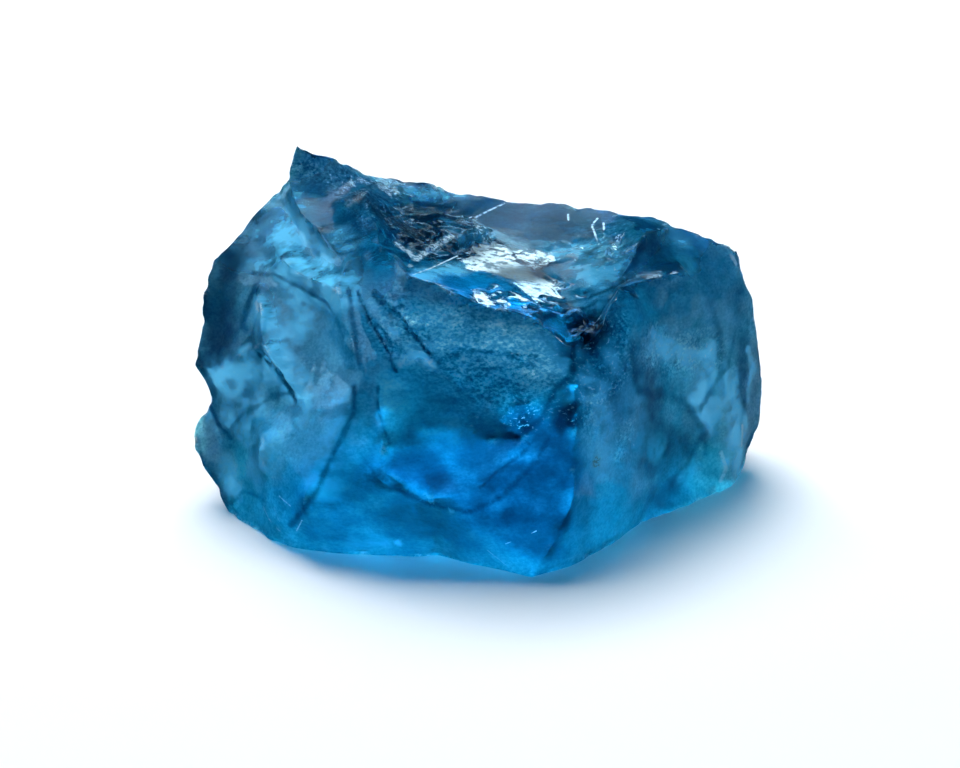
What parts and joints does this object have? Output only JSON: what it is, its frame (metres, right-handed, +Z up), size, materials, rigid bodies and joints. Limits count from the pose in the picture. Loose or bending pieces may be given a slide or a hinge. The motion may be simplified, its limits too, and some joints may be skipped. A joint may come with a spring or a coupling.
{
  "type": "raw topaz",
  "caption": "Rough broken lump of clear blue crystal with a dished top, a shell-shaped scar in front and a flat cleavage face to lie on.",
  "frame": {"origin": "middle of the stone's outline seen from above, on the surface that it lies on", "axes": "+X along the stone's length, from the horned end to the square end; -Y towards the broken front; +Z up"},
  "size_m": [0.042, 0.0264, 0.0253],
  "materials": {
    "blue_topaz": "clear blue crystal, glassy broken faces with finely pitted and rippled patches"
  },
  "bodies": {
    "root": {"topaz": "blue_topaz"}
  },
  "joints": []
}
